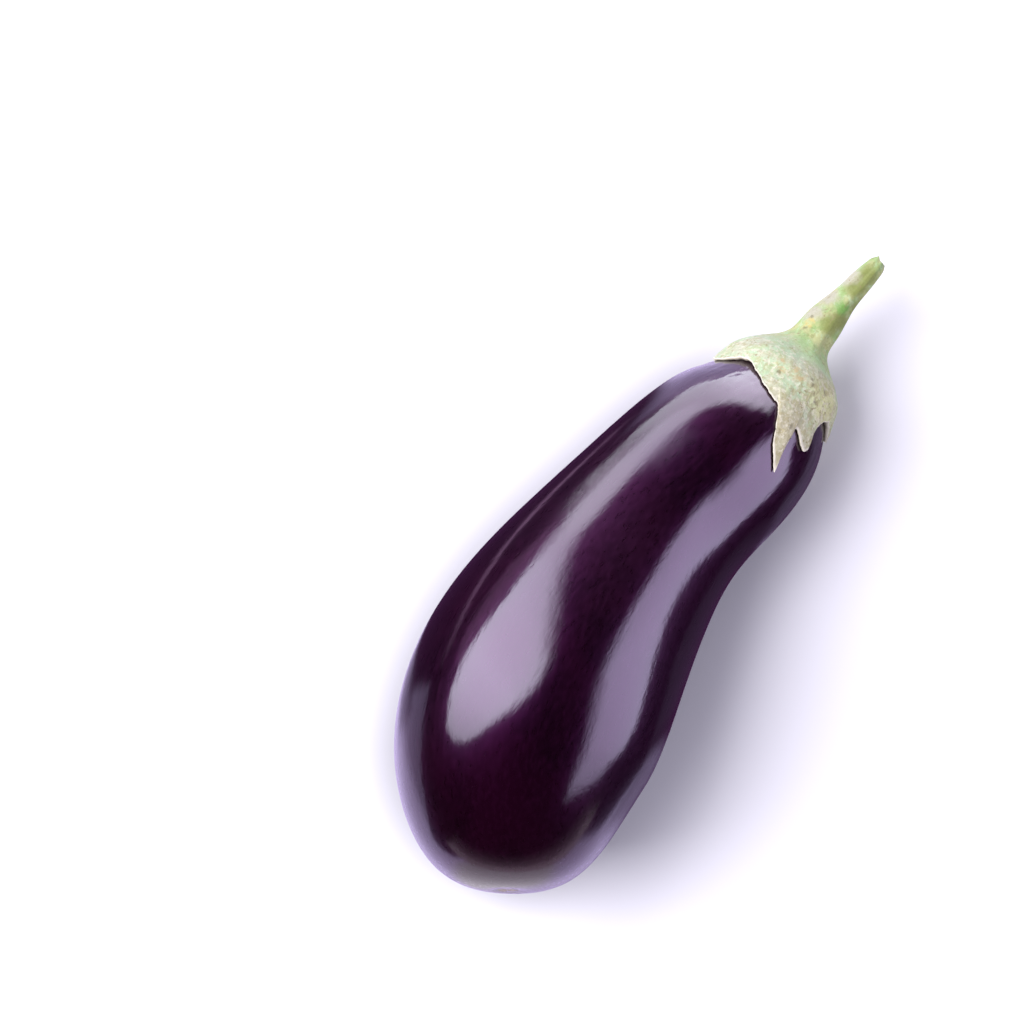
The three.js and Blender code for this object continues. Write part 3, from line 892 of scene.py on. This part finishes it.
def soft_share(places, corners):
    """How far inside an outline each place is: 0 at its edge, 1 from that edge's softness on."""
    nearest = np.full(len(places), np.inf)
    softness = np.ones(len(places))
    inside = np.zeros(len(places), bool)
    for start, end in zip(corners, np.roll(corners, -1, 0)):
        run = end[:2] - start[:2]
        along = np.clip((places - start[:2]) @ run / (run @ run), 0, 1)
        distance = np.linalg.norm(places - start[:2] - along[:, None] * run, axis=1)
        closer = distance < nearest
        nearest = np.where(closer, distance, nearest)
        softness = np.where(closer, start[2] + (end[2] - start[2]) * along, softness)
        crosses = (start[1] > places[:, 1]) != (end[1] > places[:, 1])
        where = start[0] + (places[:, 1] - start[1]) * run[0] / (run[1] if run[1] else 1)
        inside ^= crosses & (places[:, 0] < where)
    return smoothstep(np.where(inside, nearest, 0) / softness, 0, 1)


def fine_grid(low, high, steps):
    """Places over a rectangle and the quads between them."""
    share = np.arange(steps + 1) / steps
    u, v = np.meshgrid(low[0] + (high[0] - low[0]) * share, low[1] + (high[1] - low[1]) * share)
    return np.stack([u.ravel(), v.ravel()], 1), grid_quads(steps + 1, steps + 1)


def make_gloss_sheet(name, points, quads, colour, shares):
    """A sheet that glows, or darkens what lies behind it, and shows only in the fruit's gloss."""
    sheet = make_stage_mesh(name, points, quads, sheet_material(name, colour), shares)
    sheet.visible_camera = sheet.visible_diffuse = sheet.visible_shadow = False


def raised(places, height):
    """Places on the floor as points at that height above it."""
    return np.hstack([places, np.full((len(places), 1), height)])


def make_panel(name, azimuth, elevation, corners, strengths, colour):
    """A flat soft light in that direction from the fruit. Its values are as in PANELS."""
    corners = np.array(corners)
    low, high = corners[:, :2].min(0), corners[:, :2].max(0)
    places, quads = fine_grid(low, high, PANEL_STEPS)
    out = heading(azimuth, elevation)
    across = Vector((0, 0, 1)).cross(out).normalized()
    up = out.cross(across)
    points = np.array(out) + places[:, :1] * np.array(across) + places[:, 1:] * np.array(up)
    points = points * PANEL_DISTANCE + PANEL_CENTRE
    shares = soft_share(places, corners)
    lit = [quad for quad in quads if shares[quad].any()]
    shares *= np.interp(places[:, 0], np.linspace(low[0], high[0], len(strengths)), strengths)
    make_gloss_sheet(name, points, lit, colour, shares)


def beside_fruit(places, samples):
    """How far each floor place lies from the fruit as seen from above, and the way out to it."""
    station, radius = samples.T
    spine = spline(AXIS_CURVE, station / AXIS_STEP)[:, :2]
    offset = places[:, None] - spine
    distance = np.linalg.norm(offset, axis=2)
    row, nearest = np.arange(len(places)), (distance - radius).argmin(1)
    return (distance - radius)[row, nearest], offset[row, nearest] / distance[row, nearest, None]


def make_gloss_floor():
    """The sheets just above the floor that make it dark in places and paler in one."""
    corner = np.full(2, FLOOR_RADIUS)
    places, quads = fine_grid(-corner, corner, FLOOR_SHADE_STEPS)
    lit = np.ones(len(places))
    for dimming, corners in FLOOR_SHADES:
        lit *= 1 - dimming * soft_share(places / MM, np.array(corners, float))
    away, _ = beside_fruit(places, FRUIT_SAMPLES[::40])
    lit *= 1 - GLOSS_CONTACT_DIMMING * (1 - smoothstep(away, 0, GLOSS_CONTACT_REACH))
    shade = raised(places, FLOOR_SHADE_HEIGHT)
    make_gloss_sheet("floor_shade", shade, quads, FLOOR_SHADE_COLOUR, 1 - lit)
    glow = FLOOR_GLOW_SHARE * soft_share(places / MM, np.array(FLOOR_GLOW, float))
    quads = [quad for quad in quads if glow[quad].any()]
    pale = raised(places, FLOOR_GLOW_HEIGHT)
    make_gloss_sheet("floor_glow", pale, quads, FLOOR_GLOW_COLOUR, glow)


def make_streak():
    """The faint bright line, as a band that fades towards all its edges."""
    rows, columns = len(STREAK_SHARES), STREAK_COLUMNS
    along = np.linspace(0, len(STREAK_NEAR) - 1, columns)
    near, far = (spline(with_open_ends(MM * np.array(edge, float)), along)
                 for edge in (STREAK_NEAR, STREAK_FAR))
    places = near + (far - near) * np.linspace(0, 1, rows)[:, None, None]
    points = raised(places.reshape(-1, 2), STREAK_HEIGHT)
    shares = np.array(STREAK_SHARES)[:, None] * np.sin(np.linspace(STREAK_START, np.pi, columns))
    make_gloss_sheet("streak", points, grid_quads(rows, columns), STREAK_COLOUR, shares.ravel())


def make_contact_shade():
    """The faint shade on the floor along the fruit's lit side, seen only by the camera."""
    corner = np.array(CONTACT_CORNER)
    places, quads = fine_grid(-corner, corner, CONTACT_STEPS)
    samples = FRUIT_SAMPLES[::10]
    # Circles round these samples, seen from above, stay inside the blossom end.
    away, way_out = beside_fruit(places, samples[samples[:, 0] > samples[:, 1]])
    facing = way_out @ np.array(heading(CONTACT_AZIMUTH, 0))[:2]
    shares = 1 - smoothstep(away, *CONTACT_REACH)
    shares *= CONTACT_DIMMING * smoothstep(facing, *CONTACT_TURN)
    points, material = raised(places, CONTACT_HEIGHT), sheet_material("contact_shade", (0, 0, 0))
    sheet = make_stage_mesh("contact_shade", points, quads, material, shares)
    sheet.visible_glossy = sheet.visible_diffuse = sheet.visible_shadow = False


def make_lamp(name, azimuth, elevation, size, power):
    """A square soft lamp aimed at the fruit, which doesn't show in its gloss."""
    light = bpy.data.lights.new(name, "AREA")
    light.size = size
    light.energy = power
    lamp = bpy.data.objects.new(name, light)
    back = heading(azimuth, elevation)
    lamp.location = back * LAMP_DISTANCE
    lamp.rotation_euler = back.to_track_quat("Z", "Y").to_euler()
    lamp.visible_glossy = False
    lamp.visible_camera = False
    bpy.context.scene.collection.objects.link(lamp)


def make_sky():
    """A pale sky that lights the scene, nearly dark in the gloss and plain to the camera."""
    world = bpy.data.worlds.new("studio")
    world.use_nodes = True
    tree = world.node_tree
    tree.nodes.clear()
    rays = tree.nodes.new("ShaderNodeLightPath")

    def sky(colour, strength):
        background = tree.nodes.new("ShaderNodeBackground")
        background.inputs["Color"].default_value = (*colour, 1)
        background.inputs["Strength"].default_value = strength
        return background.outputs[0]

    def choose(kind, other, own):
        blend = tree.nodes.new("ShaderNodeMixShader")
        tree.links.new(rays.outputs[kind], blend.inputs["Fac"])
        tree.links.new(other, blend.inputs[1])
        tree.links.new(own, blend.inputs[2])
        return blend.outputs[0]

    studio = choose("Is Glossy Ray", sky(SKY_COLOUR, SKY_LIGHT),
                    sky(SKY_COLOUR_IN_GLOSS, SKY_LIGHT_IN_GLOSS))
    studio = choose("Is Camera Ray", studio, sky(BACKDROP_COLOUR, BACKDROP_LIGHT))
    out = tree.nodes.new("ShaderNodeOutputWorld")
    tree.links.new(studio, out.inputs["Surface"])
    bpy.context.scene.world = world


def make_light():
    for panel in PANELS:
        make_panel(*panel)
    make_streak()
    make_gloss_floor()
    make_contact_shade()
    make_lamp(*KEY_LAMP)
    make_sky()


def make_camera():
    back = heading(180 - CAMERA_AZIMUTH, CAMERA_ELEVATION)
    data = bpy.data.cameras.new("camera")
    data.lens = CAMERA_LENS
    data.sensor_width = CAMERA_SENSOR
    data.sensor_fit = "HORIZONTAL"
    camera = bpy.data.objects.new("camera", data)
    camera.location = Vector(CAMERA_TARGET) + CAMERA_DISTANCE * back
    camera.rotation_euler = back.to_track_quat("Z", "Y").to_euler()
    bpy.context.scene.collection.objects.link(camera)
    bpy.context.scene.camera = camera


# ---- The scene ----

make_camera()
make_floor()
make_light()
make_fruit(skin_finish())
make_calyx(calyx_finish())
bpy.context.scene.view_settings.view_transform = "Standard"
